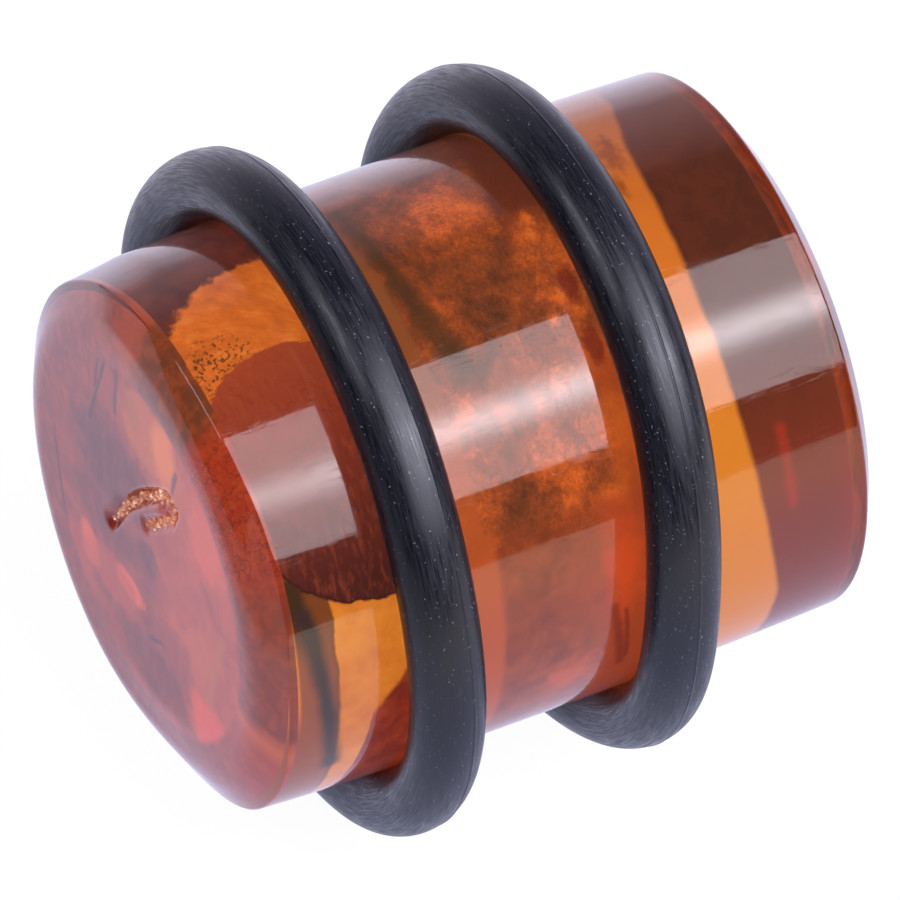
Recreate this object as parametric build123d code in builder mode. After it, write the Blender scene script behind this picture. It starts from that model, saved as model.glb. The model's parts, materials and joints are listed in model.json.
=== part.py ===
"""Amber ear plug: a straight half-inch plug of natural amber held by two rubber O-rings.

The plug lies on its side, on its O-rings. Its axis is Y, with the front end at -Y and +Z up,
and the origin is the middle of the plug. Lengths are in millimetres.
"""

import os
from math import atan, degrees

from build123d import *

# The amber plug
plug_diameter = 12.7  # half-inch gauge, over the land between the O-rings
plug_length = 15.3
end_diameter = 12.44  # the polished sides draw in a little towards both ends
bevel_depth = 0.54  # along the axis
bevel_width = 0.92  # across the end, from the side to where the bevel would meet the face
bevel_blend = 1.4  # the bevel rolls into the flat end face
ridge_round = 0.12  # the edge between the side and the bevel is just broken
land_front = -2.6  # the truly cylindrical stretch between the O-rings
land_rear = 1.2

# The pit in the front face: a shallow crescent groove with a wider pocket at its upper end
pit_start = (-1.5, -0.35)  # as (x, z) on the face
pit_middle = (-0.35, 1.25)
pit_end = (1.15, 2.4)
pit_radius = 0.3
pit_depth = 0.16
pocket_radius = 0.45
pocket_depth = 0.24

# The O-rings: their place along the axis, their cord and their lean, which is a slope in x and z.
# Stretched over the plug, a ring's cord is a little wider along the plug than it is high off it.
ring_clearance = 0.05  # between a ring's inside and the plug
front_ring_place = -3.535
front_ring_cord = (1.76, 1.56)  # width and height
front_ring_lean = (-0.0355, -0.0101)
rear_ring_place = 2.285
rear_ring_cord = (1.74, 1.48)
rear_ring_lean = (-0.0105, 0.0497)

plug_radius = plug_diameter / 2
end_radius = end_diameter / 2
half_length = plug_length / 2
face_radius = end_radius - bevel_width
bevel_start = half_length - bevel_depth


def ring_plane(place, lean):
    """The plane a ring lies in: across the axis at its place, leaning by its two slopes."""
    return Plane(origin=(0, place, 0), x_dir=(1, lean[0], 0), z_dir=(-lean[0], 1, -lean[1]))


def cord_plane(plane, cord):
    """Across a ring's cord, with local x away from the axis and local y along it."""
    ring_radius = plug_radius + ring_clearance + cord[1] / 2
    return Plane(origin=plane.from_local_coords((ring_radius, 0, 0)), x_dir=plane.x_dir, z_dir=-plane.y_dir)


def groove_point(place, depth, radius):
    """The centre of a ball of this radius that cuts this deep into the front face at (x, z)."""
    return Vector(place[0], -half_length + depth - radius, place[1])


with BuildPart() as amber_plug:
    with BuildSketch(Plane.XY) as half_section:
        with BuildLine():
            face_front = Line((0, -half_length), (face_radius, -half_length))
            bevel_front = Line(face_front @ 1, (end_radius, -bevel_start))
            side_front = TangentArc((plug_radius, land_front), bevel_front @ 1, tangent=(0, -1))
            land = Line((plug_radius, land_front), (plug_radius, land_rear))
            side_rear = TangentArc(land @ 1, (end_radius, bevel_start), tangent=(0, 1))
            bevel_rear = Line(side_rear @ 1, (face_radius, half_length))
            face_rear = Line(bevel_rear @ 1, (0, half_length))
            Line(face_rear @ 1, face_front @ 0)
        make_face()
        corners = half_section.vertices()
        fillet(corners.filter_by(lambda v: abs(v.X - face_radius) < 1e-6), radius=bevel_blend)
        fillet(
            half_section.vertices().filter_by(
                lambda v: abs(v.X - end_radius) < 1e-6 and abs(abs(v.Y) - bevel_start) < 1e-6
            ),
            radius=ridge_round,
        )
    revolve(axis=Axis.Y)
    with BuildLine() as pit_line:
        ThreePointArc(
            groove_point(pit_start, pit_depth, pit_radius),
            groove_point(pit_middle, pit_depth, pit_radius),
            groove_point(pit_end, pit_depth, pit_radius),
        )
    with BuildSketch(Plane(origin=pit_line.line @ 0, z_dir=pit_line.line % 0)):
        Circle(pit_radius)
    sweep(path=pit_line.line, mode=Mode.SUBTRACT)
    with Locations(groove_point(pit_start, pit_depth, pit_radius)):
        Sphere(pit_radius, mode=Mode.SUBTRACT)
    with Locations(groove_point(pit_end, pocket_depth, pocket_radius)):
        Sphere(pocket_radius, mode=Mode.SUBTRACT)

front_plane = ring_plane(front_ring_place, front_ring_lean)
with BuildPart() as front_o_ring:
    with BuildSketch(cord_plane(front_plane, front_ring_cord)):
        Ellipse(front_ring_cord[1] / 2, front_ring_cord[0] / 2)
    revolve(axis=Axis(front_plane.origin, front_plane.z_dir))

rear_plane = ring_plane(rear_ring_place, rear_ring_lean)
with BuildPart() as rear_o_ring:
    with BuildSketch(cord_plane(rear_plane, rear_ring_cord)):
        Ellipse(rear_ring_cord[1] / 2, rear_ring_cord[0] / 2)
    revolve(axis=Axis(rear_plane.origin, rear_plane.z_dir))

os.makedirs("parts", exist_ok=True)
pieces = {
    "amber_plug": amber_plug,
    "front_o_ring": front_o_ring,
    "rear_o_ring": rear_o_ring,
}
for name, piece in pieces.items():
    piece.part.label = name
    export_step(piece.part, f"parts/{name}.step")
    size = piece.part.bounding_box().size
    print(f"{name}: {size.X:.2f} x {size.Y:.2f} x {size.Z:.2f} mm, {piece.part.volume:.1f} mm3")
lean_angle = degrees(atan((rear_ring_lean[0] ** 2 + rear_ring_lean[1] ** 2) ** 0.5))
print(f"the rear ring leans {lean_angle:.1f} degrees")
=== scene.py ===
"""An amber ear plug with two rubber O-rings, lying on a white sheet under one soft box.

The plug is a clear polished shell around a coloured heart, so that light bends at the surface
and the flaws are seen inside it. The heart's paint glows, and it holds painted light and shade.
Sizes named here are in millimetres, and angles in degrees. The plug's axis is Y, its front end
is at -Y, and a turn is an angle about the axis from +Z to +X.
"""

import json
import math
import random

import bmesh
import bpy
import numpy as np
from mathutils import Matrix, Vector


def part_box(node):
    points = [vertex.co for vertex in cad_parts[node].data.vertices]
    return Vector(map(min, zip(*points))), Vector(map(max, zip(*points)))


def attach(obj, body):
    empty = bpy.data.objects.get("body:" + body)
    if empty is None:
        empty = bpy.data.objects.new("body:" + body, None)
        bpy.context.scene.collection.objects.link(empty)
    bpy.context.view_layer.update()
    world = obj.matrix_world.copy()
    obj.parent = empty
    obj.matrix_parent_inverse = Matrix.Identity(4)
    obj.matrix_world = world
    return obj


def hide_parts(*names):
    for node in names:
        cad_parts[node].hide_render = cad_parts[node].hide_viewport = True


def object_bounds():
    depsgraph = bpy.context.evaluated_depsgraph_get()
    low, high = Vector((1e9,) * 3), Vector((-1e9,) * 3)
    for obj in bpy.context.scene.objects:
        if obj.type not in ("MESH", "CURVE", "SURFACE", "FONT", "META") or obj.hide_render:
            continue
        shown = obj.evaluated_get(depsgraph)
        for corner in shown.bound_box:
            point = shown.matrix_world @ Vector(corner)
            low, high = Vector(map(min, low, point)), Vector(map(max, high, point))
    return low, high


MM = 0.001
TURN_LENGTH = 0.111  # millimetres round the plug's side in one degree
MIX_UNDER = 6  # a Mix node's two colour sockets, whose names are shared with its other sockets
MIX_OVER = 7

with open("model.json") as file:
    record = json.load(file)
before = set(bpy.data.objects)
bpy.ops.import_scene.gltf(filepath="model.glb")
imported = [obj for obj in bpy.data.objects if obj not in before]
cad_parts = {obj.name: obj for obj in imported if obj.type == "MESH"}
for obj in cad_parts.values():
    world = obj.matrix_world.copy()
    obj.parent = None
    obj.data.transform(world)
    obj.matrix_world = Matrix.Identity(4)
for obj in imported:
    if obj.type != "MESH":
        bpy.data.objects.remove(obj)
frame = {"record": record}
cad_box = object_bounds()

# The plug, from its CAD node and the mount between its O-rings
plug_low, plug_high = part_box("amber_plug")
plug_radius = (plug_high[0] - plug_low[0]) / 2 / MM
half_length = (plug_high[1] - plug_low[1]) / 2 / MM
land = next(m for m in frame["record"]["mounts"] if m["name"] == "lobe_shaft")
land_front = land["pos_m"][1] / MM - land["dims"]["length_mm"] / 2
land_rear = land["pos_m"][1] / MM + land["dims"]["length_mm"] / 2
end_radius = 6.22
bevel_depth = 0.54
bevel_width = 0.92
bevel_blend = 1.4
ridge_round = 0.12
heart_depth = 0.4  # how far the coloured heart lies under the polished surface
heart_shift = (0.11, 0.13)  # how far its face looks moved, in x and z, as light bends at the surface
amber_ior = 1.54
amber_haze = 150.0  # how densely the clear amber takes light in, per metre
polish_bump = 0.0025  # how deep the polish is uneven
heart_glow = 0.74  # how much of the heart's colour glows evenly: a painted glow that stands in for light coming through the amber
heart_answer = 0.27  # and how much of it answers the lamps

# The outline's points and the rings of points round the plug
outline_spacing = 0.3
face_spacing = 0.07  # over the shell's front face, for the pit
shell_segments = 320
heart_segments = 256

# How unevenly the front end is ground. Each is (turn, width, amount), and fades out to both sides.
ridge_hollow = (53, 24, 0.19)  # the ridge is set back
underside_hollow = (165, 27, 0.2)  # the bevel and the face's edge are set back
flat_side = (-38, 22, 0.018)  # the end is narrower, by this share of its radius
ridge_forward_turn = 43  # the ridge stands forward most on this side
ridge_forward = 0.09
ground_from = 6.0  # how far along from the plug's middle the uneven grinding starts
narrowed_from = 5.6
ridge_from = 4.95  # how far from the axis the ridge's unevenness starts
underside_zone = (3.8, 5.5)  # and over which radii the underside's comes in

# The crescent pit in the front face, as lines of (x, z), and its cuts, each a (depth, far, near): a
# cut starts at a distance of far from its line and is at full depth from near
pit_line = [(-1.5, -0.35), (-0.98, 0.52), (-0.35, 1.25), (0.36, 1.9), (1.15, 2.4)]
pit_rim = [
    (-1.5, -0.35),
    (-0.8, 0.72),
    (0.0, 1.62),
    (0.75, 2.3),
    (1.25, 2.62),
    (1.5, 2.5),
    (1.3, 2.0),
    (0.8, 1.5),
    (0.2, 0.95),
]
pocket_centre = (1.1, 2.15)
pit_reach = 3.4  # no part of the pit is further from the axis
groove_cut = (0.07, 0.32, 0.05)
pocket_cut = (0.06, 0.5, 0.1)
rim_cut = (0.08, 0.3, 0.1)
pit_ripple = 0.012

# The crumbs of crust along the pit's rim
crumb_seed = 7
crumb_tries = 420
crumb_size = (0.02, 0.06)
crumb_scatter = 0.055
crumb_sink = 1.15  # how deep a crumb's centre is under the face, as a share of its size
crumb_depth = (0.0, 0.03)  # and how much deeper by chance
crumb_lumpy = (0.75, 1.12)  # its corners' distance from its centre, as a share of its size

# The O-rings: points round the ring and round its cord, and the flash line left by the mould
ring_segments = 360
cord_segments = 72
flash_height = 0.016
flash_width = 1.6  # in degrees round the cord
flash_room = 0.017  # the cord is this much thinner elsewhere, so that the flash stays in its box
front_parting = 22  # degrees round the cord, from outwards towards the rear
rear_parting = 3
front_bends = [(-75, 35, -0.3), (68, 26, -0.05)]  # (turn, width, shift along the plug)
rear_bends = [(-75, 30, -0.1), (88, 27, -0.2), (150, 28, 0.18)]
rubber_bump = 0.0032  # how deep the rubber is streaked
press_gap = 0.25  # rubber that is nearer to the plug than this is pressed towards it
press_middle = 0.09  # and what would be this near lies on it
contact_gap = 0.002

# The camera: a long lens, so that the view is nearly without perspective
view_azimuth = 62.17
view_elevation = 43.71
view_roll = 0.33
view_distance = 635.0
view_lens = 1151.2
view_shift = (-0.005, -0.2155)  # to the right and up

# The soft box: it faces the plug from above the camera's right
box_direction = (0.597, 0.338, 0.727)
box_distance = 400.0
box_across = (-184.0, 202.0)
box_half_along = 260.0
box_line_width = 42.0  # of the brighter line down its middle
box_base = 3.9  # the strength of the whole box
box_peak = (4.6, 4.4)  # what the line adds at the front, and what it gains towards the rear

# The top light: a smaller one over the plug's front
top_direction = (-0.14, -0.62, 0.77)
top_distance = 300
top_half = (100, 40)
top_strength = 4.5

# The sheet under the plug, the card behind it, and the air around them as the plug sees it
sheet_half = 105.0
sheet_gap = 0.01  # between the sheet and the rings that lie on it
sheet_seen = 0.97  # how bright the sheet is to look at
world_dim = (0.03, 0.03, 0.034, 1)
card_half = 200
card_height = 122


def rgb(red, green, blue):
    """A colour from its display values, 0 to 255, as the light that shaders add up."""
    values = (v / 255 for v in (red, green, blue))
    light = [v / 12.92 if v <= 0.04 else ((v + 0.055) / 1.055) ** 2.4 for v in values]
    return (*light, 1.0)


# -------- meshes


def rounded(points, radii, steps=12):
    """The corners of an open line of 2-D points, each rolled round by an arc of its own radius."""
    out = [Vector(points[0])]
    for before, corner, after, radius in zip(points, points[1:], points[2:], radii):
        corner = Vector(corner)
        back, on = (Vector(before) - corner).normalized(), (Vector(after) - corner).normalized()
        half = back.angle(on) / 2
        reach = radius / math.tan(half)
        centre = corner + (back + on).normalized() * (radius / math.sin(half))
        start, end = corner + back * reach - centre, corner + on * reach - centre
        for i in range(steps + 1):
            out.append(centre + start.lerp(end, i / steps).normalized() * radius)
    out.append(Vector(points[-1]))
    return out


def side_radius(along):
    """The plug's radius at a place along it: level over the land, then drawing in to both ends."""
    bevel_start = half_length - bevel_depth
    past = max(land_front - along, 0) / (bevel_start + land_front)
    past += max(along - land_rear, 0) / (bevel_start - land_rear)
    return plug_radius - (plug_radius - end_radius) * past**2


def end_profile(inset, side):
    """(radius, along) from the axis out over one end face and its bevel, on to the side."""
    face_radius = end_radius - bevel_width
    bevel_start = half_length - bevel_depth
    after = bevel_start - 0.6
    # set in, the corners move so that the bevel too lies about that far under the surface
    points = [
        (0, half_length - inset),
        (face_radius - inset * 0.4, half_length - inset),
        (end_radius - inset, bevel_start - inset * 0.45),
        (side_radius(side * after) - inset, after),
    ]
    line = rounded(points, (bevel_blend, ridge_round + inset * 0.3))
    return [(r, side * y) for r, y in line]


def plug_profile(inset, spacing):
    """The plug's half outline from the front face's middle to the rear face's, set in by inset."""
    front = end_profile(inset, -1)
    rear = end_profile(inset, 1)
    low, high = front[-1][1], rear[-1][1]
    count = int((high - low) / spacing)
    side = [low + (high - low) * i / count for i in range(1, count)]
    middle = [(side_radius(y) - inset, y) for y in side]
    return front + middle + rear[::-1]


def spread(profile, spacing, fine=None):
    """The same outline with points no further apart than spacing, or than fine over the first run."""
    out = [profile[0]]
    for (r0, y0), (r1, y1) in zip(profile, profile[1:]):
        reach = fine if fine and r0 == 0 else spacing
        count = max(1, math.ceil(math.hypot(r1 - r0, y1 - y0) / reach))
        out += [(r0 + (r1 - r0) * i / count, y0 + (y1 - y0) * i / count) for i in range(1, count + 1)]
    return out


def turned(name, profile, segments):
    """A closed solid of revolution about Y from an outline that starts and ends on the axis."""
    bm = bmesh.new()
    first = bm.verts.new((0, profile[0][1] * MM, 0))
    last = bm.verts.new((0, profile[-1][1] * MM, 0))
    rows = []
    for radius, along in profile[1:-1]:
        row = []
        for i in range(segments):
            turn = 2 * math.pi * i / segments
            x, z = radius * math.sin(turn), radius * math.cos(turn)
            row.append(bm.verts.new((x * MM, along * MM, z * MM)))
        rows.append(row)
    for i in range(segments):
        j = (i + 1) % segments
        bm.faces.new((first, rows[0][j], rows[0][i]))
        bm.faces.new((last, rows[-1][i], rows[-1][j]))
        for one, two in zip(rows, rows[1:]):
            bm.faces.new((one[i], one[j], two[j], two[i]))
    return made(name, bm)


def made(name, bm):
    """An object in the scene from a finished bmesh, with smooth faces."""
    bmesh.ops.recalc_face_normals(bm, faces=bm.faces)
    for face in bm.faces:
        face.smooth = True
    mesh = bpy.data.meshes.new(name)
    bm.to_mesh(mesh)
    bm.free()
    piece = bpy.data.objects.new(name, mesh)
    bpy.context.scene.collection.objects.link(piece)
    return piece


def ease(value, low, high):
    """0 at low and 1 at high, smooth between them."""
    share = min(max((value - low) / (high - low), 0), 1)
    return share * share * (3 - 2 * share)


def swell(turn, middle, width, amount):
    """The whole amount at a turn of middle, dying away over about width degrees to both sides."""
    off = (turn - middle + 180) % 360 - 180
    return amount * math.exp(-((off / width) ** 2))


def scallop(piece):
    """Makes the front ridge run unevenly, as on a bevel that was ground by hand."""
    ridge = half_length - bevel_depth
    for vertex in piece.data.vertices:
        x, along, z = vertex.co / MM
        if along > -ground_from:
            continue
        turn = math.degrees(math.atan2(x, z))
        out = math.hypot(x, z)
        facing = 0.5 + 0.5 * math.cos(math.radians(turn - ridge_forward_turn))
        shift = (swell(turn, *ridge_hollow) - ridge_forward * facing) * ease(out, ridge_from, end_radius)
        shift += swell(turn, *underside_hollow) * ease(out, *underside_zone)
        vertex.co.y += shift * ease(-along, ground_from, ridge) * MM
        narrow = 1 - swell(turn, *flat_side) * ease(-along, narrowed_from, ridge)
        vertex.co.x *= narrow
        vertex.co.z *= narrow


def line_distance(point, line):
    """How far a 2-D point is from an open line of 2-D points."""
    best = math.inf
    for (x0, z0), (x1, z1) in zip(line, line[1:]):
        dx, dz = x1 - x0, z1 - z0
        share = ((point[0] - x0) * dx + (point[1] - z0) * dz) / (dx * dx + dz * dz)
        share = min(max(share, 0), 1)
        best = min(best, math.hypot(point[0] - x0 - dx * share, point[1] - z0 - dz * share))
    return best


def cut(distance, depth, far, near):
    """How deep a cut is at a distance from its line."""
    return depth * ease(-distance, -far, -near)


def sink_pit(piece):
    """The crescent pit in the front face: a shallow groove with a deeper, rough rim."""
    for vertex in piece.data.vertices:
        x, along, z = vertex.co / MM
        if along > -half_length + 0.01 or math.hypot(x, z) > pit_reach:
            continue
        depth = cut(line_distance((x, z), pit_line), *groove_cut)
        depth += cut(math.dist((x, z), pocket_centre), *pocket_cut)
        depth += cut(line_distance((x, z), pit_rim), *rim_cut)
        ripple = pit_ripple * math.sin(x * 31 + z * 17) * math.sin(z * 37 - x * 13)
        vertex.co.y += (depth + ripple * min(depth / 0.05, 1)) * MM


# -------- node work


class Paint:
    """One material, built from the plug's own coordinates in millimetres and degrees."""

    def __init__(self, name):
        self.material = bpy.data.materials.new(name)
        self.material.use_nodes = True
        self.tree = self.material.node_tree
        self.tree.nodes.clear()
        self.output = self.new("OutputMaterial")
        place = self.new("TexCoord").outputs["Object"]
        self.place = self.vector("MULTIPLY", place, (1 / MM,) * 3)
        split = self.new("SeparateXYZ")
        self.feed(split.inputs[0], self.place)
        self.x, self.along, self.z = split.outputs
        self.turn = self.math("MULTIPLY", self.math("ARCTAN2", self.x, self.z), 180 / math.pi)
        self.side = self.join(self.along, self.turn)
        self.face = self.join(self.x, self.z)
        self.rolled = self.join(self.along, self.math("MULTIPLY", self.turn, TURN_LENGTH))

    def new(self, kind):
        """A new node of the material's tree."""
        return self.tree.nodes.new("ShaderNode" + kind)

    def feed(self, socket, value):
        """Links a socket to another, or sets it to a plain value."""
        if isinstance(value, bpy.types.NodeSocket):
            self.tree.links.new(value, socket)
        else:
            socket.default_value = value

    def math(self, operation, one, two=0.0):
        """A sum, product or other result of one or two numbers."""
        node = self.new("Math")
        node.operation = operation
        self.feed(node.inputs[0], one)
        self.feed(node.inputs[1], two)
        return node.outputs[0]

    def vector(self, operation, one, two=(0.0, 0.0, 0.0)):
        """The same for vectors."""
        node = self.new("VectorMath")
        node.operation = operation
        self.feed(node.inputs[0], one)
        self.feed(node.inputs[1], two)
        return node.outputs["Value" if operation in ("LENGTH", "DOT_PRODUCT") else "Vector"]

    def scaled(self, vector, factor):
        """The vector times a number."""
        node = self.new("VectorMath")
        node.operation = "SCALE"
        self.feed(node.inputs[0], vector)
        self.feed(node.inputs["Scale"], factor)
        return node.outputs["Vector"]

    def join(self, one, two, three=0.0):
        """A vector from its three numbers."""
        node = self.new("CombineXYZ")
        for socket, value in zip(node.inputs, (one, two, three)):
            self.feed(socket, value)
        return node.outputs[0]

    def step(self, value, low, high):
        """0 below low and 1 above high, smooth between them; low may be the larger."""
        node = self.new("MapRange")
        node.interpolation_type = "SMOOTHSTEP"
        self.feed(node.inputs["Value"], value)
        if low < high:
            ends = (low, high, 0.0, 1.0)
        else:
            ends = (high, low, 1.0, 0.0)
        for key, end in zip(("From Min", "From Max", "To Min", "To Max"), ends):
            node.inputs[key].default_value = end
        return node.outputs["Result"]

    def noise(self, size, detail=3.0, stretch=(1, 1, 1), seed=0.0, warp=0.0, at=None):
        """Cloudy noise from 0 to 1, whose lumps are about size millimetres across."""
        node = self.new("TexNoise")
        place = self.vector("MULTIPLY", at or self.place, tuple(1 / (size * s) for s in stretch))
        self.feed(node.inputs["Vector"], self.vector("ADD", place, (seed, seed * 0.7, seed * 1.3)))
        node.inputs["Scale"].default_value = 1.0
        node.inputs["Detail"].default_value = detail
        node.inputs["Roughness"].default_value = 0.6
        node.inputs["Distortion"].default_value = warp
        return node.outputs["Fac"]

    def frayed(self, value, amount, grain, seed):
        """The value, pushed up and down by noise so that a step of it gets a ragged edge."""
        push = self.math("SUBTRACT", self.noise(grain, seed=seed), 0.5)
        return self.math("ADD", value, self.part(push, amount))

    def spot(self, at, centre, half, soft=0.12, ragged=0.15, grain=0.8, seed=0.0):
        """A mask that is 1 in an oval about centre, in the coordinates at, with a ragged edge."""
        offset = self.vector("SUBTRACT", at, (*centre, 0.0))
        offset = self.vector("DIVIDE", offset, (*half, 1.0))
        far = self.vector("LENGTH", offset)
        return self.step(self.frayed(far, ragged * 4, grain, seed), 1 + soft, 1 - soft)

    def streak(self, at, start, end, width, soft=0.5, ragged=0.3, scale=(1.0, 1.0), seed=0.0):
        """A mask that is 1 along a straight line, in the coordinates at after scaling them."""
        at = self.vector("MULTIPLY", at, (*scale, 0.0))
        first = Vector((start[0] * scale[0], start[1] * scale[1], 0))
        run = Vector((end[0] * scale[0], end[1] * scale[1], 0)) - first
        offset = self.vector("SUBTRACT", at, tuple(first))
        share = self.vector("DOT_PRODUCT", offset, tuple(run / run.length_squared))
        share = self.math("MINIMUM", self.math("MAXIMUM", share, 0.0), 1.0)
        far = self.vector("LENGTH", self.vector("SUBTRACT", offset, self.scaled(tuple(run), share)))
        far = self.frayed(far, ragged * width * 4, 0.6, seed)
        return self.step(far, width * (1 + soft), width * (1 - soft))

    def rays(self, at, centre, scale, fineness, seed=0.0):
        """Fibres from 0 to 1 that run out from centre, in the coordinates at after scaling them."""
        offset = self.vector("MULTIPLY", self.vector("SUBTRACT", at, (*centre, 0.0)), (*scale, 0.0))
        split = self.new("SeparateXYZ")
        self.feed(split.inputs[0], offset)
        angle = self.math("ARCTAN2", split.outputs[1], split.outputs[0])
        far = self.vector("LENGTH", offset)
        place = self.join(self.math("MULTIPLY", angle, fineness), self.math("MULTIPLY", far, 1.3))
        return self.noise(1.0, detail=5, seed=seed, warp=0.4, at=place)

    def cracks(self, size, width, seed=0.0, at=None, stretch=(1, 1, 1)):
        """A mask of thin wandering lines."""
        off = self.math("SUBTRACT", self.noise(size, 2, stretch, seed, at=at), 0.5)
        off = self.math("ABSOLUTE", off)
        return self.step(off, width, width * 0.3)

    def ramp(self, value, stops):
        """A colour that runs through the stops, which are (value, colour) in rising order."""
        low, high = stops[0][0], stops[-1][0]
        node = self.new("ValToRGB")
        share = self.math("DIVIDE", self.math("SUBTRACT", value, low), high - low)
        self.feed(node.inputs[0], share)
        for _ in stops[2:]:
            node.color_ramp.elements.new(0.5)
        for element, (place, colour) in zip(node.color_ramp.elements, stops):
            element.position = (place - low) / (high - low)
            element.color = colour
        return node.outputs["Color"]

    def part(self, mask, share):
        """The mask, at only a share of its strength; the share may be another mask."""
        return self.math("MULTIPLY", mask, share)

    def add(self, one, two):
        """The sum of two values."""
        return self.math("ADD", one, two)

    def mix(self, mask, under, over):
        """The colour under, with the colour over laid on it where mask is 1."""
        node = self.new("Mix")
        node.data_type = "RGBA"
        self.feed(node.inputs["Factor"], mask)
        self.feed(node.inputs[MIX_UNDER], under)
        self.feed(node.inputs[MIX_OVER], over)
        return node.outputs[2]

    def finish(self, shader):
        """The finished material, with this shader as its surface."""
        self.tree.links.new(shader, self.output.inputs["Surface"])
        return self.material


def painted_glow_heart(p, colour):
    """Painted glow: part of the heart's colour glows evenly, in place of light coming through the amber, and
    part answers the lamps.
    """
    node = p.new("BsdfPrincipled")
    colour = p.vector("ADD", colour, (0.002, 0.003, 0.007))
    p.feed(node.inputs["Emission Color"], colour)
    p.feed(node.inputs["Emission Strength"], heart_glow)
    p.feed(node.inputs["Base Color"], p.mix(heart_answer, (0, 0, 0, 1), colour))
    p.feed(node.inputs["Roughness"], 0.9)
    p.feed(node.inputs["Specular IOR Level"], 0.0)
    return p.finish(node.outputs[0])


# -------- the amber's colours

RED_BROWN = rgb(158, 66, 28)
DARK_BROWN = rgb(84, 40, 20)
OLIVE = rgb(80, 52, 24)
BLOOD = rgb(122, 40, 22)
GLOW_ORANGE = rgb(224, 84, 28)


def cloud(p, lift):
    """Natural amber's cloud: brown and orange fibres in soft lumps, brighter where lift is high."""
    lumps = p.part(p.noise(1.3, detail=3, seed=3.0), 0.35)
    lumps = p.add(lumps, p.part(p.noise(0.55, detail=8, warp=0.5, seed=8.0), 0.35))
    fibres = p.part(p.noise(0.14, detail=8, warp=1.0, stretch=(1, 0.8, 1.5), seed=18.0), 0.3)
    level = p.add(p.add(lumps, fibres), lift)
    grain = p.part(p.math("SUBTRACT", p.noise(0.06, detail=2, seed=11.0), 0.5), 0.14)
    level = p.add(level, grain)
    stops = [
        (0.32, rgb(88, 50, 25)),
        (0.43, rgb(122, 62, 28)),
        (0.53, rgb(156, 74, 30)),
        (0.67, rgb(226, 106, 36)),
    ]
    return p.ramp(level, stops)


def middle_stretch(p):
    """Between the rings: a cloud with a fibrous edge, an olive veil and red-brown fractures, and painted
    shade that darkens the top of the side.
    """
    side = p.side
    lift = p.part(p.spot(side, (0.5, -7), (1.1, 10), soft=0.7, grain=1.2), 0.10)
    lift = p.add(lift, p.part(p.step(p.turn, 42, 54), 0.085))
    pushes = [
        ((1.6, 4), (0.5, 6), 0.11),
        ((1.55, 22), (0.5, 6), 0.08),
        ((0.3, 20), (0.9, 6), -0.06),
        ((0.1, -8), (0.9, 6), 0.03),
        ((-1.6, -8), (0.9, 12), -0.13),
        ((0.95, 4), (0.3, 4), -0.08),
        ((0.55, 12), (0.3, 3), -0.10),
        ((0.2, 27), (0.7, 6), -0.06),
        ((-0.95, 61), (0.5, 8), -0.17),
        ((0.3, 36), (1.3, 8), 0.05),
    ]
    for i, (centre, half, push) in enumerate(pushes):
        mask = p.spot(side, centre, half, soft=0.9, ragged=0.5, grain=0.5, seed=i * 3.1)
        lift = p.add(lift, p.part(mask, push))
    colour = cloud(p, lift)
    clear = p.ramp(p.noise(0.9, detail=4, seed=41.0), [(0.35, rgb(178, 74, 26)), (0.65, rgb(208, 98, 30))])
    edge = p.add(p.along, p.part(p.noise(0.7, detail=5, seed=5.0), 0.5))
    clear_side = p.part(p.step(edge, 1.35, 1.8), p.step(p.turn, 26, 40))
    colour = p.mix(p.part(clear_side, 0.85), colour, clear)
    # painted shade: the top of the side is painted darker
    top = p.step(p.add(p.turn, p.part(p.noise(0.9, seed=71.0), 14)), -4, -22)
    colour = p.mix(p.part(top, 0.6), colour, rgb(84, 44, 26))
    wedge = p.add(p.along, p.part(p.turn, 0.022))
    dark = p.part(p.step(wedge, 0.9, 1.25), p.step(p.turn, 8, -4))
    colour = p.mix(p.part(dark, 0.9), colour, rgb(100, 46, 24))
    for centre, half in (((1.78, 20), (0.22, 4)), ((1.72, 34), (0.2, 4.5))):
        stain = p.spot(side, centre, half, soft=0.3, ragged=0.3, grain=0.3)
        colour = p.mix(p.part(stain, 0.75), colour, BLOOD)
    for i, centre in enumerate(((1.62, 6.5), (1.75, 2), (1.5, 22), (1.1, 26))):
        spark = p.spot(side, centre, (0.1, 1.4), soft=0.9, ragged=0.9, grain=0.15, seed=i * 5.0)
        colour = p.mix(p.part(spark, 0.7), colour, rgb(244, 120, 40))
    ochre = p.step(p.add(p.along, p.part(p.noise(1.5, seed=6.0), 0.2)), -1.85, -2.0)
    stops = [
        (-20, rgb(120, 64, 36)),
        (8, rgb(142, 82, 38)),
        (30, rgb(150, 80, 36)),
        (52, rgb(186, 88, 38)),
    ]
    colour = p.mix(p.part(ochre, 0.85), colour, p.ramp(p.turn, stops))
    for start, end, width in (((-1.78, -20), (-1.68, 14), 0.2), ((-1.6, 18), (-1.2, 30), 0.36)):
        veil = p.streak(side, start, end, width, soft=0.9, ragged=0.5, scale=(1, 0.1))
        colour = p.mix(p.part(veil, 0.85), colour, OLIVE)
    return lower_half(p, colour)


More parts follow.
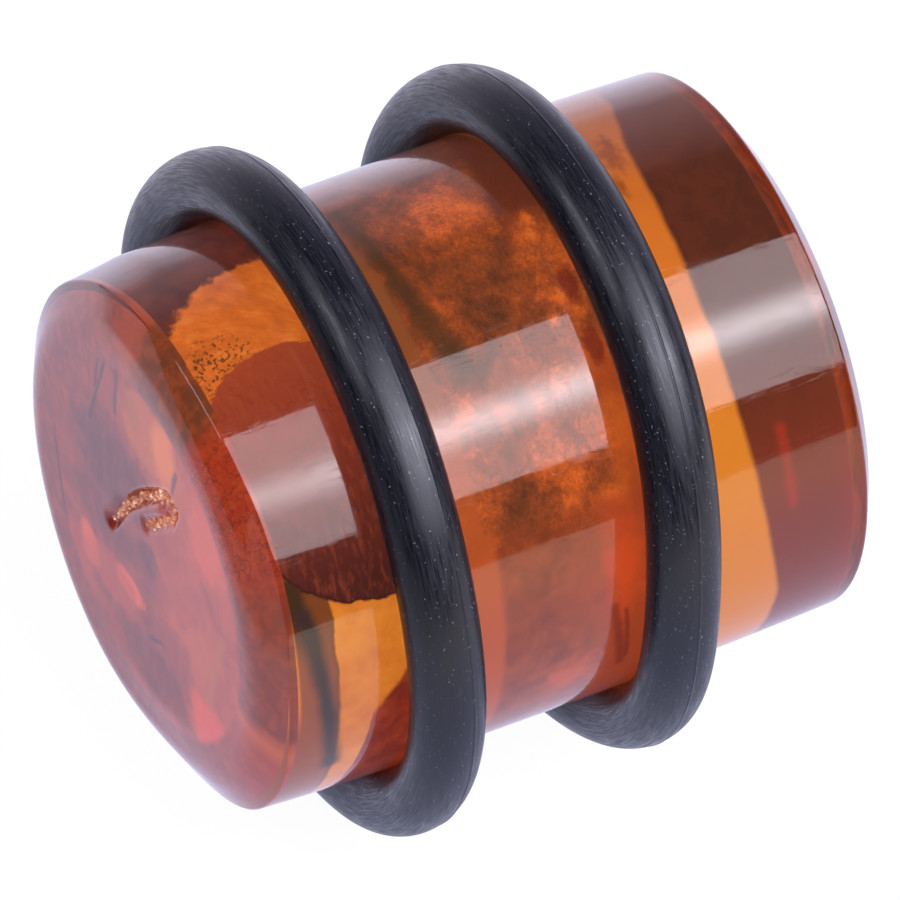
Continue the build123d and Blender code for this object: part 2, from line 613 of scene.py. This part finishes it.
def lower_half(p, colour):
    """Between the rings and low on the side, the amber is redder, with painted light: a painted pool of
    light and a painted glowing spot, as light from the sheet below would give.
    """
    side = p.side
    low = p.step(p.add(p.turn, p.part(p.noise(0.8, seed=9.0), 12)), 66, 78)
    stops = [(0.34, rgb(124, 52, 26)), (0.66, rgb(162, 74, 34))]
    red = p.ramp(p.noise(0.7, detail=6, warp=0.5, seed=19.0), stops)
    # painted light: a brighter patch low on the side
    lit = p.spot(side, (0.5, 84), (0.6, 16), soft=0.7, ragged=0.2)
    red = p.mix(p.part(lit, 0.6), red, rgb(178, 78, 34))
    colour = p.mix(p.part(low, 0.85), colour, red)
    strip = p.part(low, p.step(p.along, -1.75, -1.95))
    colour = p.mix(p.part(strip, 0.9), colour, rgb(194, 88, 36))
    near_ring = p.part(low, p.step(p.along, 0.5, 0.8))
    colour = p.mix(p.part(near_ring, 0.8), colour, rgb(178, 72, 34))
    # painted glow: a bright orange spot low on the side
    glow = p.spot(side, (1.15, 82), (0.4, 11), soft=0.8, ragged=0.35, grain=0.4)
    colour = p.mix(p.part(glow, 0.8), colour, GLOW_ORANGE)
    for start, end, width in (((0.85, 92), (1.2, 112), 0.1), ((1.15, 94), (1.3, 110), 0.06)):
        veins = p.streak(side, start, end, width, soft=0.8, scale=(1, 0.1))
        colour = p.mix(p.part(veins, 0.6), colour, BLOOD)
    embers = p.spot(side, (-0.1, 110), (0.6, 6), soft=0.7, ragged=0.6, grain=0.5, seed=4.0)
    return p.mix(p.part(embers, 0.7), colour, rgb(216, 92, 36))


def gold_disc(p, colour):
    """A sun spangle seen from its bright side: a disc of fine gold fibres with dark specks."""
    side = p.side
    disc = p.spot(side, (-4.2, 14.8), (3.2, 28.8), soft=0.035, ragged=0.05, grain=0.3)
    rays = p.rays(side, (-3.6, 12), (1, TURN_LENGTH), 17.0, seed=2.0)
    haze = p.part(p.noise(0.4, detail=7, seed=26.0), 0.6)
    level = p.add(p.part(rays, 0.4), haze)
    gold = p.ramp(level, [(0.34, rgb(196, 98, 32)), (0.50, rgb(220, 110, 36)), (0.66, rgb(234, 130, 48))])
    colour = p.mix(disc, colour, gold)
    soot = p.step(p.noise(0.1, detail=4, seed=13.0), 0.52, 0.6)
    for i, (centre, half) in enumerate((((-6.2, 8), (0.75, 4.5)), ((-6.75, 13), (0.5, 6)))):
        area = p.spot(side, centre, half, soft=0.5, ragged=0.5, grain=0.3, seed=i * 4.0)
        colour = p.mix(p.part(p.part(area, soot), 0.9), colour, rgb(92, 56, 26))
    return colour


def red_disc(p, colour):
    """A sun spangle seen from its dark side, with a thin dark rim and fine scuffs."""
    leaning = p.math("SUBTRACT", p.along, p.part(p.math("SUBTRACT", p.turn, 40.1), 0.0105))
    at = p.join(leaning, p.turn)
    scuffs = p.noise(0.12, detail=6, stretch=(1, 3.5, 1), seed=31.0, at=p.rolled)
    stops = [(12, rgb(166, 70, 36)), (30, rgb(146, 58, 32)), (50, rgb(108, 44, 29)), (64, rgb(82, 34, 23))]
    red = p.ramp(p.turn, stops)
    red = p.mix(p.part(p.step(scuffs, 0.45, 0.68), 0.35), red, rgb(172, 78, 42))
    red = p.mix(p.part(p.cracks(0.9, 0.012, seed=7.0), 0.15), red, rgb(70, 28, 20))
    rim = p.mix(p.part(p.step(p.turn, 50, 56), 0.8), red, rgb(66, 28, 16))
    outer = p.spot(at, (-4.85, 40.1), (2.72, 29.6), soft=0.01, ragged=0.025, grain=0.5)
    inner = p.spot(at, (-4.85, 40.1), (2.65, 28.9), soft=0.012, ragged=0.025, grain=0.5)
    return p.mix(inner, p.mix(outer, colour, rim), red)


def front_stretch(p):
    """In front of the rings: two overlapping sun spangles over yellow, green and red veils. The yellow low
    on the side is partly the amber's colour and partly painted light from the sheet below, with a painted
    shadow and a painted lit edge.
    """
    side = p.side
    brown = p.ramp(p.noise(0.8, detail=5, seed=23.0), [(0.35, rgb(86, 38, 24)), (0.65, rgb(116, 50, 28))])
    colour = gold_disc(p, brown)
    # partly painted light: the side is painted bright yellow-orange low down
    below = p.step(p.turn, 57, 60)
    amber = p.ramp(p.noise(0.9, detail=4, seed=33.0), [(0.35, rgb(220, 120, 32)), (0.65, rgb(240, 146, 46))])
    colour = p.mix(below, colour, amber)
    edge = p.add(p.along, p.part(p.noise(0.5, detail=5, seed=35.0), 0.25))
    green = p.part(below, p.step(edge, -5.72, -5.8))
    colour = p.mix(green, colour, rgb(128, 70, 28))
    colour = p.mix(p.part(p.part(green, p.step(edge, -6.2, -6.45)), 0.9), colour, rgb(64, 42, 20))
    deep = p.part(p.step(p.turn, 67, 82), p.step(edge, -5.75, -5.95))
    colour = p.mix(p.part(deep, 0.9), colour, rgb(160, 82, 44))
    shadow = p.streak(side, (-6.5, 68), (-5.95, 112), 0.2, scale=(1, 0.1), soft=0.9)
    colour = p.mix(shadow, colour, rgb(66, 46, 40))
    frayed = p.part(p.noise(0.4, detail=4, seed=39.0), 0.12)
    left = p.add(p.add(p.along, frayed), p.part(p.math("SUBTRACT", p.turn, 102.8), 0.012))
    slant = p.add(p.part(p.turn, 0.084), p.add(p.along, p.part(frayed, 2.0)))
    wedge = p.part(p.step(left, -5.1, -5.03), p.step(slant, 3.2, 3.42))
    red = p.ramp(p.noise(0.6, detail=5, seed=37.0), [(0.35, rgb(132, 44, 22)), (0.65, rgb(168, 62, 28))])
    colour = p.mix(wedge, colour, red)
    colour = red_disc(p, colour)
    lit_edge = p.part(below, p.step(p.turn, 100, 88))
    lit_edge = p.part(p.step(p.along, -6.78, -6.86), lit_edge)
    return p.mix(p.part(lit_edge, 0.9), colour, rgb(228, 128, 40))


def rear_stretch(p):
    """Behind the rings: a clear gold band, then brown amber to the end, and a painted highlight along the
    rear ridge.
    """
    side = p.side
    stops = [
        (-34, rgb(120, 66, 34)),
        (-15, rgb(182, 92, 36)),
        (15, rgb(218, 114, 32)),
        (60, rgb(228, 136, 38)),
    ]
    gold = p.ramp(p.turn, stops)
    gold = p.mix(p.part(p.noise(0.8, detail=5, seed=2.0), 0.3), gold, rgb(236, 146, 52))
    marks = [((4.35, -8), (0.24, 4.5)), ((4.1, 2), (0.09, 3)), ((4.5, -12), (0.1, 3))]
    for i, (centre, half) in enumerate(marks):
        mark = p.spot(side, centre, half, soft=0.7, ragged=0.6, grain=0.2, seed=i * 6.0)
        gold = p.mix(p.part(mark, 0.7), gold, rgb(138, 66, 26))
    bow = p.math("DIVIDE", p.math("SUBTRACT", p.turn, 40.8), 58)
    bow = p.math("MINIMUM", p.part(p.part(bow, bow), 0.5), 0.65)
    flare = p.part(p.math("MAXIMUM", p.math("SUBTRACT", -8.0, p.turn), 0.0), 0.018)
    edge = p.math("SUBTRACT", p.math("SUBTRACT", p.along, bow), flare)
    edge = p.add(edge, p.part(p.math("SUBTRACT", p.noise(0.9, detail=3, seed=6.0), 0.5), 0.12))
    stops = [
        (-18, rgb(104, 54, 36)),
        (8, rgb(86, 42, 22)),
        (45, rgb(92, 42, 20)),
        (60, rgb(114, 50, 24)),
        (76, rgb(134, 54, 34)),
    ]
    brown = p.ramp(p.turn, stops)
    smoke = p.step(p.noise(0.6, detail=7, warp=0.5, seed=12.0), 0.38, 0.66)
    brown = p.mix(p.part(smoke, 0.22), brown, rgb(132, 62, 30))
    streak = p.streak(side, (5.3, 64), (5.36, 82), 0.12, scale=(1, 0.1), soft=0.9, ragged=0.4)
    brown = p.mix(p.part(streak, 0.6), brown, rgb(182, 56, 32))
    far_red = p.part(p.step(p.along, 6.2, 6.8), p.step(p.turn, 60, 80))
    brown = p.mix(p.part(far_red, 0.5), brown, rgb(150, 52, 32))
    colour = p.mix(p.step(edge, 4.31, 4.49), gold, brown)
    # a painted highlight: a thin pale line along the rear ridge
    return p.mix(p.part(p.step(p.along, 6.82, 6.88), 0.4), colour, rgb(160, 96, 72))


def side_paint():
    """Seen through the side: three stretches, whose borders lie under the rings."""
    p = Paint("amber_heart_side")
    colour = p.mix(p.step(p.along, -3.3, -3.6), middle_stretch(p), front_stretch(p))
    colour = p.mix(p.step(p.along, 2.3, 2.6), colour, rear_stretch(p))
    return painted_glow_heart(p, colour)


def bevel_colours(p):
    """The front bevel's own look, which changes round the plug: red crackle, brown and olive."""
    stops = [
        (-40, rgb(136, 56, 44)),
        (-22, rgb(142, 58, 42)),
        (-11, rgb(172, 76, 42)),
        (-4, rgb(122, 62, 34)),
        (20, rgb(116, 62, 32)),
        (26, rgb(176, 58, 26)),
        (58, rgb(160, 54, 28)),
        (66, rgb(134, 58, 40)),
        (100, rgb(132, 52, 38)),
        (105, rgb(196, 92, 48)),
        (111, rgb(166, 60, 44)),
        (150, rgb(140, 50, 40)),
    ]
    colour = p.ramp(p.turn, stops)
    mottle = p.step(p.noise(0.35, detail=6, warp=0.4, seed=43.0), 0.4, 0.66)
    colour = p.mix(p.part(mottle, 0.3), colour, rgb(206, 88, 40))
    crackled = p.part(p.step(p.turn, 20, 28), p.step(p.turn, 64, 54))
    crackle = p.math("MAXIMUM", p.cracks(0.45, 0.03, seed=3.0), p.cracks(0.2, 0.022, seed=9.0))
    return p.mix(p.part(p.part(crackle, crackled), 0.4), colour, rgb(64, 24, 16))


def face_paint():
    """Seen through the front face: purple-brown depths, an orange patch, flames and dark cracks."""
    p = Paint("amber_heart_face")
    face = p.vector("ADD", p.face, (*heart_shift, 0.0))
    base = p.noise(1.5, detail=5, warp=0.4, seed=4.0)
    colour = p.ramp(base, [(0.36, rgb(132, 46, 32)), (0.64, rgb(166, 66, 38))])
    bright = p.ramp(base, [(0.36, rgb(176, 66, 42)), (0.64, rgb(204, 86, 46))])
    rightward = p.add(p.x, p.part(p.noise(1.4, detail=3, seed=14.0), 1.6))
    colour = p.mix(p.part(p.step(rightward, 0.4, 2.2), 0.85), colour, bright)
    fibres = p.step(p.noise(0.3, detail=6, stretch=(1, 1, 2.2), seed=10.0), 0.42, 0.68)
    patches = [
        ((-1.7, 1.2), (1.7, 1.3), rgb(100, 32, 28), 0.8),
        ((0.2, -0.1), (0.5, 0.45), rgb(98, 30, 28), 0.7),
        ((1.4, -2.2), (0.9, 1.1), rgb(138, 50, 38), 0.6),
        ((-2.0, -0.6), (1.4, 0.5), rgb(112, 34, 28), 0.7),
        ((0.6, -3.2), (1.7, 0.7), rgb(112, 36, 28), 0.7),
        ((0.3, 3.6), (1.5, 1.1), rgb(206, 100, 38), 0.8),
        ((0.9, 3.7), (0.5, 0.9), rgb(240, 128, 42), 0.8),
        ((-0.5, 3.7), (0.3, 0.5), rgb(170, 96, 40), 0.5),
        ((3.0, 2.7), (0.9, 1.1), rgb(226, 92, 50), 0.8),
        ((-2.6, -2.0), (0.45, 0.5), rgb(236, 96, 42), 0.9),
        ((-0.7, -1.7), (0.7, 0.32), rgb(244, 96, 42), 0.95),
        ((-1.5, -2.1), (1.3, 0.6), rgb(192, 72, 42), 0.7),
        ((3.3, -2.9), (1.1, 0.8), rgb(234, 82, 48), 0.9),
        ((2.7, -0.9), (0.6, 0.8), rgb(206, 96, 52), 0.6),
        ((-3.3, -2.8), (0.9, 0.9), rgb(196, 72, 42), 0.6),
    ]
    for i, (centre, half, tint, strength) in enumerate(patches):
        mask = p.spot(face, centre, half, soft=0.35, ragged=0.3, grain=0.7, seed=i * 2.3)
        colour = p.mix(p.part(mask, strength), colour, tint)
    colour = p.mix(p.part(fibres, 0.12), colour, rgb(226, 112, 60))
    lines = [
        ((3.75, 0.4), (3.1, -2.0), 0.16, rgb(190, 96, 42)),
        ((-1.2, 6.2), (-2.6, 1.9), 0.06, rgb(72, 28, 36)),
        ((-1.9, 6.0), (-2.35, 3.0), 0.07, rgb(84, 32, 36)),
        ((-0.7, 6.1), (-1.6, 4.6), 0.14, rgb(214, 96, 50)),
        ((-2.6, 5.6), (-3.3, 3.9), 0.1, rgb(190, 82, 48)),
        ((-1.3, 4.4), (-1.4, 3.0), 0.07, rgb(92, 36, 40)),
        ((-4.4, 0.2), (-3.5, -3.4), 0.07, rgb(94, 34, 32)),
        ((1.35, 2.9), (1.55, 3.6), 0.08, rgb(96, 44, 70)),
        ((0.3, -2.4), (0.9, -2.1), 0.05, rgb(80, 40, 60)),
    ]
    for i, (start, end, width, tint) in enumerate(lines):
        mask = p.streak(face, start, end, width, soft=0.8, ragged=0.5, seed=i * 1.7)
        colour = p.mix(p.part(mask, 0.8), colour, tint)
    out = p.vector("LENGTH", p.face)
    colour = p.mix(p.step(out, 4.35, 4.6), colour, bevel_colours(p))
    rear = p.ramp(p.noise(1.2, detail=6, warp=0.5, seed=51.0), [(0.35, DARK_BROWN), (0.65, RED_BROWN)])
    colour = p.mix(p.step(p.along, -1.0, 1.0), colour, rear)
    return painted_glow_heart(p, colour)


# -------- the pieces


def shell_material():
    """Polished amber: clear, with fine scuffs that run mostly round the plug."""
    p = Paint("amber_polish")
    node = p.new("BsdfPrincipled")
    p.feed(node.inputs["Base Color"], (1, 1, 1, 1))
    p.feed(node.inputs["Transmission Weight"], 1.0)
    p.feed(node.inputs["IOR"], amber_ior)
    tilted = p.vector("ADD", p.rolled, p.scaled(p.join(p.turn, 0.0), 0.01))
    round_scuffs = p.noise(0.05, detail=3, stretch=(10, 1, 1), seed=15.0, at=tilted)
    along_scuffs = p.noise(0.04, detail=2, stretch=(1, 14, 1), seed=25.0, at=p.rolled)
    scuffs = p.math("MAXIMUM", p.step(round_scuffs, 0.56, 0.74), p.step(along_scuffs, 0.6, 0.76))
    dull = p.step(p.noise(0.9, detail=4, seed=45.0), 0.4, 0.7)
    rough = p.add(p.part(scuffs, 0.15), p.part(dull, 0.06))
    p.feed(node.inputs["Roughness"], p.add(rough, 0.025))
    bump = p.new("Bump")
    p.feed(bump.inputs["Distance"], polish_bump * MM)
    p.feed(bump.inputs["Strength"], 0.7)
    p.feed(bump.inputs["Height"], p.add(p.part(scuffs, 0.3), p.noise(2.4, detail=1, seed=55.0)))
    p.feed(node.inputs["Normal"], bump.outputs[0])
    haze = p.new("VolumeAbsorption")
    p.feed(haze.inputs["Color"], rgb(255, 190, 110))
    p.feed(haze.inputs["Density"], amber_haze)
    p.tree.links.new(haze.outputs[0], p.output.inputs["Volume"])
    return p.finish(node.outputs[0])


def make_shell():
    """The polished skin, which stands for the CAD plug."""
    outline = spread(plug_profile(0.0, outline_spacing), outline_spacing, face_spacing)
    shell = turned("amber_shell", outline, shell_segments)
    scallop(shell)
    sink_pit(shell)
    shell.data.materials.append(shell_material())
    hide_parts("amber_plug")
    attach(shell, "plug")


def crust_material():
    """The pit's crust: crumbs of brown weathered amber, a few of them nearly white, with a painted glow."""
    p = Paint("pit_crust")
    node = p.new("BsdfPrincipled")
    stops = [
        (0.34, rgb(148, 84, 58)),
        (0.5, rgb(190, 128, 100)),
        (0.6, rgb(218, 170, 144)),
        (0.68, rgb(246, 236, 228)),
    ]
    crumb = p.ramp(p.noise(0.16, detail=3, seed=61.0), stops)
    p.feed(node.inputs["Base Color"], crumb)
    p.feed(node.inputs["Emission Color"], crumb)
    # painted glow: the crumbs give off light of their own colour
    p.feed(node.inputs["Emission Strength"], 0.55)
    p.feed(node.inputs["Alpha"], 0.7)
    p.feed(node.inputs["Roughness"], p.add(p.part(p.noise(0.1, seed=62.0), 0.4), 0.4))
    return p.finish(node.outputs[0])


def make_crust():
    """Crumbs scattered along the pit's rim, sunk in it so that none stands above the face."""
    chance = random.Random(crumb_seed)
    bm = bmesh.new()
    runs = list(zip(pit_rim, pit_rim[1:]))
    lengths = [math.dist(a, b) for a, b in runs]
    for _ in range(crumb_tries):
        (x0, z0), (x1, z1) = chance.choices(runs, lengths)[0]
        share = chance.random()
        size = chance.uniform(*crumb_size)
        x = x0 + (x1 - x0) * share + chance.gauss(0, crumb_scatter)
        z = z0 + (z1 - z0) * share + chance.gauss(0, crumb_scatter)
        # few crumbs at the pit's lower end, and more and more towards its upper one
        if chance.random() > 0.12 + 0.36 * max(z - pit_rim[0][1], 0) ** 0.8:
            continue
        y = -half_length + size * crumb_sink + chance.uniform(*crumb_depth)
        centre = Vector((x, y, z)) * MM
        place = Matrix.Translation(centre)
        crumb = bmesh.ops.create_icosphere(bm, subdivisions=1, radius=size * MM, matrix=place)["verts"]
        for vertex in crumb:
            vertex.co = centre + (vertex.co - centre) * chance.uniform(*crumb_lumpy)
    crust = made("pit_crust", bm)
    crust.data.materials.append(crust_material())
    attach(crust, "plug")


def make_heart():
    """The coloured heart inside the skin, with one paint round its side and one on its ends."""
    outline = spread(plug_profile(heart_depth, outline_spacing), outline_spacing)
    heart = turned("amber_heart", outline, heart_segments)
    scallop(heart)
    heart.data.materials.append(side_paint())
    heart.data.materials.append(face_paint())
    corners = heart.data.vertices
    for face in heart.data.polygons:
        out = max(math.hypot(corners[i].co.x, corners[i].co.z) for i in face.vertices)
        if out < (end_radius - heart_depth) * MM * 1.0001 and abs(face.normal.y) > 0.35:
            face.material_index = 1
    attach(heart, "plug")


def rubber_material():
    """Black rubber with a blue cast: fine streaks round the ring, and specks of dust."""
    p = Paint("ring_rubber")
    node = p.new("BsdfPrincipled")
    off_axis = p.vector("LENGTH", p.face)
    at = p.join(p.along, off_axis, p.part(p.turn, 0.006))
    streaks = p.noise(0.035, detail=3, seed=2.0, at=at)
    patches = p.noise(1.1, detail=3, seed=5.0)
    base = p.ramp(streaks, [(0.35, rgb(13, 13, 21)), (0.65, rgb(26, 27, 39))])
    dust = p.step(p.noise(0.065, detail=1, seed=17.0), 0.71, 0.74)
    base = p.mix(p.part(dust, 0.8), base, rgb(122, 126, 138))
    p.feed(node.inputs["Base Color"], base)
    rough = p.add(p.part(p.step(streaks, 0.35, 0.65), 0.2), p.part(patches, 0.12))
    p.feed(node.inputs["Roughness"], p.add(rough, 0.2))
    p.feed(node.inputs["Specular IOR Level"], 0.5)
    p.feed(node.inputs["Specular Tint"], (0.86, 0.9, 1.0, 1))
    bump = p.new("Bump")
    p.feed(bump.inputs["Distance"], rubber_bump * MM)
    p.feed(bump.inputs["Strength"], 0.8)
    p.feed(bump.inputs["Height"], streaks)
    p.feed(node.inputs["Normal"], bump.outputs[0])
    return p.finish(node.outputs[0])


def ring_frame(node):
    """A CAD ring's centre, axis, mean radius, and its cord's half height and half width."""
    box_low, box_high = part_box(node)
    centre = (Vector(box_low) + Vector(box_high)) / 2 / MM
    points = np.array([v.co for v in bpy.data.objects[node].data.vertices]) / MM - np.array(centre)
    axis = Vector(np.linalg.eigh(points.T @ points)[1][:, 0])
    if axis.y < 0:
        axis = -axis
    height = points @ np.array(axis)
    off_axis = np.linalg.norm(points - height[:, None] * np.array(axis), axis=1)
    mean = (off_axis.max() + off_axis.min()) / 2
    high = (off_axis.max() - off_axis.min()) / 2
    return centre, axis, float(mean), float(high), float(np.abs(height).max())


def make_ring(name, node, parting, bends, material):
    """An O-ring stretched on the plug, with its mould's flash line, parting degrees round its cord.

    Each of the bends, a (turn, width, shift), pushes the ring that far along the plug near a turn.
    """
    centre, axis, mean, high, wide = ring_frame(node)
    out = axis.cross(Vector((0, 0, 1))).normalized()
    up = out.cross(axis)
    # the points of the cord are close together by the flash line and evenly spaced over the rest
    angles = {parting + offset for offset in (-9, -6, -4, -3, -2, -1, 0, 1, 2, 3, 4, 6, 9)}
    angles |= {parting + 12 + 336 * i / cord_segments for i in range(cord_segments + 1)}
    angles = sorted(angles)
    bm = bmesh.new()
    rows = []
    for i in range(ring_segments):
        turn = 2 * math.pi * i / ring_segments
        away = out * math.cos(turn) + up * math.sin(turn)
        row = []
        for angle in angles:
            flash = flash_height * math.exp(-(((angle - parting) / flash_width) ** 2)) - flash_room
            a = math.radians(angle)
            off_axis = mean + (high + flash) * math.cos(a)
            point = centre + away * off_axis + axis * ((wide + flash) * math.sin(a))
            row.append(bm.verts.new(hugged(point, bends) * MM))
        rows.append(row)
    for i in range(ring_segments):
        one, two = rows[i], rows[(i + 1) % ring_segments]
        for j in range(len(angles)):
            k = (j + 1) % len(angles)
            bm.faces.new((one[j], one[k], two[k], two[j]))
    ring = made(name, bm)
    ring.data.materials.append(material)
    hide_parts(node)
    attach(ring, node)


def hugged(point, bends):
    """A point of a ring, moved by its bends and pressed nearly flat where it lies on the plug."""
    turn = math.degrees(math.atan2(point.x, point.z))
    shift = sum(swell(turn, *bend) for bend in bends)
    off_axis = math.hypot(point.x, point.z)
    gap = off_axis - plug_radius
    if gap < press_gap:
        gap = press_gap - (press_gap - gap) * (press_gap - contact_gap) / (press_gap - press_middle)
    scale = (plug_radius + max(gap, contact_gap)) / off_axis
    return Vector((point.x * scale, point.y + shift, point.z * scale))


# -------- the studio


def flat_card(name, centre, right, up, low, high, material, shown):
    """A flat rectangle through centre, from low to high along right and up, in millimetres."""
    corners = [(low[0], low[1]), (high[0], low[1]), (high[0], high[1]), (low[0], high[1])]
    mesh = bpy.data.meshes.new(name)
    mesh.from_pydata([(centre + right * a + up * b) * MM for a, b in corners], [], [(0, 1, 2, 3)])
    mesh.materials.append(material)
    card = bpy.data.objects.new(name, mesh)
    bpy.context.scene.collection.objects.link(card)
    card.visible_camera = shown
    return card


def sheet_material():
    """White paper: evenly bright to look at. To the plug, its light is dimmer and cooler close by, a painted
    shadow of the plug, and darker in front of it.
    """
    p = Paint("sheet")
    distance = p.vector("LENGTH", p.join(p.x, p.along))
    # painted shadow of the plug: the sheet's light is dimmer and bluer near it
    near = (0.8, 0.82, 1.12, 1)
    warm = (1.3, 1.2, 1.05, 1)
    cool = (1.35, 1.3, 1.6, 1)
    far = p.mix(p.step(p.x, -25, 40), cool, warm)
    thrown = p.new("Emission")
    shade = p.mix(p.step(distance, 9, 42), near, far)
    in_front = p.part(p.step(p.along, -22, -34), 0.65)
    p.feed(thrown.inputs["Color"], p.mix(in_front, shade, (0.1, 0.1, 0.12, 1)))
    seen = p.new("BsdfPrincipled")
    p.feed(seen.inputs["Base Color"], (0.06, 0.06, 0.06, 1))
    p.feed(seen.inputs["Roughness"], 1.0)
    p.feed(seen.inputs["Specular IOR Level"], 0.0)
    p.feed(seen.inputs["Emission Color"], (1, 1, 1, 1))
    p.feed(seen.inputs["Emission Strength"], sheet_seen)
    return p.finish(split_by_camera(p.tree, thrown.outputs[0], seen.outputs[0]))


def split_by_camera(tree, others, camera):
    """One shader for the camera's own rays and one for all others."""
    path = tree.nodes.new("ShaderNodeLightPath")
    node = tree.nodes.new("ShaderNodeMixShader")
    tree.links.new(path.outputs["Is Camera Ray"], node.inputs[0])
    tree.links.new(others, node.inputs[1])
    tree.links.new(camera, node.inputs[2])
    return node.outputs[0]


def card_material(table):
    """The pale wall behind the sheet: bright at its foot, then fading out upwards."""
    p = Paint("card")
    stops = [(0, 1.35), (18, 1.05), (25, 0.72), (31, 0.6), (62, 0.5), (card_height, 0.1)]
    glow = p.new("Emission")
    shades = [(height, (v * 0.98, v * 0.92, v * 1.12, 1)) for height, v in stops]
    p.feed(glow.inputs["Color"], p.ramp(p.math("SUBTRACT", p.z, table), shades))
    return p.finish(glow.outputs[0])


def studio():
    """The sheet, the card behind it, the two lights and the world around them."""
    x_axis, y_axis, z_axis = Vector((1, 0, 0)), Vector((0, 1, 0)), Vector((0, 0, 1))
    table = cad_box[0][2] / MM
    middle = Vector((0, 0, table - sheet_gap))
    low, high = (-sheet_half, -sheet_half), (sheet_half, sheet_half)
    flat_card("table_sheet", middle, x_axis, y_axis, low, high, sheet_material(), True)

    a = math.radians(view_azimuth)
    across = Vector((math.cos(a), math.sin(a), 0))
    foot = Vector((-math.sin(a), math.cos(a), 0)) * sheet_half + Vector((0, 0, table))
    low, high = (-card_half, 0), (card_half, card_height)
    flat_card("back_card", foot, across, z_axis, low, high, card_material(table), False)

    towards = Vector(box_direction).normalized()
    along = (y_axis - towards * y_axis.dot(towards)).normalized()
    wide = towards.cross(along)
    low, high = (box_across[0], -box_half_along), (box_across[1], box_half_along)
    glow = soft_box_glow(wide, along)
    flat_card("soft_box", towards * box_distance, wide, along, low, high, glow, False)

    over = Vector(top_direction).normalized()
    side = y_axis.cross(over).normalized()
    low, high = (-top_half[0], -top_half[1]), top_half
    glow = plain_glow("top_light", top_strength)
    flat_card("top_light", over * top_distance, side, over.cross(side), low, high, glow, False)
    studio_world()
    bpy.context.scene.view_settings.view_transform = "Standard"


def studio_world():
    """White to look at and nearly dark to the plug, which the cards and lights are there for."""
    world = bpy.data.worlds.new("studio")
    world.use_nodes = True
    bpy.context.scene.world = world
    tree = world.node_tree
    path = tree.nodes.new("ShaderNodeLightPath")
    mix = tree.nodes.new("ShaderNodeMix")
    mix.data_type = "RGBA"
    mix.inputs[MIX_UNDER].default_value = world_dim
    mix.inputs[MIX_OVER].default_value = (1, 1, 1, 1)
    tree.links.new(path.outputs["Is Camera Ray"], mix.inputs["Factor"])
    tree.links.new(mix.outputs[2], tree.nodes["Background"].inputs["Color"])


def soft_box_glow(wide, along):
    """A white light with a brighter soft line down its middle, which weakens towards the front."""
    p = Paint("soft_box_glow")
    off = p.math("DIVIDE", p.vector("DOT_PRODUCT", p.place, tuple(wide)), box_line_width)
    peak = p.math("POWER", math.e, p.part(p.part(off, off), -1.0))
    rearward = p.step(p.vector("DOT_PRODUCT", p.place, tuple(along)), -55, 5)
    fall = p.add(p.part(rearward, box_peak[1]), box_peak[0])
    glow = p.new("Emission")
    p.feed(glow.inputs["Color"], (1.0, 0.96, 1.02, 1))
    p.feed(glow.inputs["Strength"], p.add(p.part(peak, fall), box_base))
    return p.finish(glow.outputs[0])


def plain_glow(name, strength):
    """An even white light."""
    p = Paint(name)
    glow = p.new("Emission")
    p.feed(glow.inputs["Strength"], strength)
    return p.finish(glow.outputs[0])


def make_camera():
    """The photo's own view: turned about the plug, raised and rolled by the angles at the top."""
    a, e, roll = (math.radians(v) for v in (view_azimuth, view_elevation, view_roll))
    back = Vector((math.sin(a) * math.cos(e), -math.cos(a) * math.cos(e), math.sin(e)))
    right = Vector((math.cos(a), math.sin(a), 0))
    up = back.cross(right)
    place = back * view_distance + right * view_shift[0] + up * view_shift[1]
    turned_right = right * math.cos(roll) + up * math.sin(roll)
    turned_up = up * math.cos(roll) - right * math.sin(roll)
    data = bpy.data.cameras.new("camera")
    data.lens = view_lens
    data.clip_start, data.clip_end = 0.05, 5.0
    camera = bpy.data.objects.new("camera", data)
    bpy.context.scene.collection.objects.link(camera)
    pose = Matrix((turned_right, turned_up, back)).transposed().to_4x4()
    pose.translation = place * MM
    camera.matrix_world = pose
    bpy.context.scene.camera = camera


make_shell()
make_heart()
make_crust()
rubber = rubber_material()
make_ring("front_ring_rubber", "front_o_ring", front_parting, front_bends, rubber)
make_ring("rear_ring_rubber", "rear_o_ring", rear_parting, rear_bends, rubber)
studio()
make_camera()
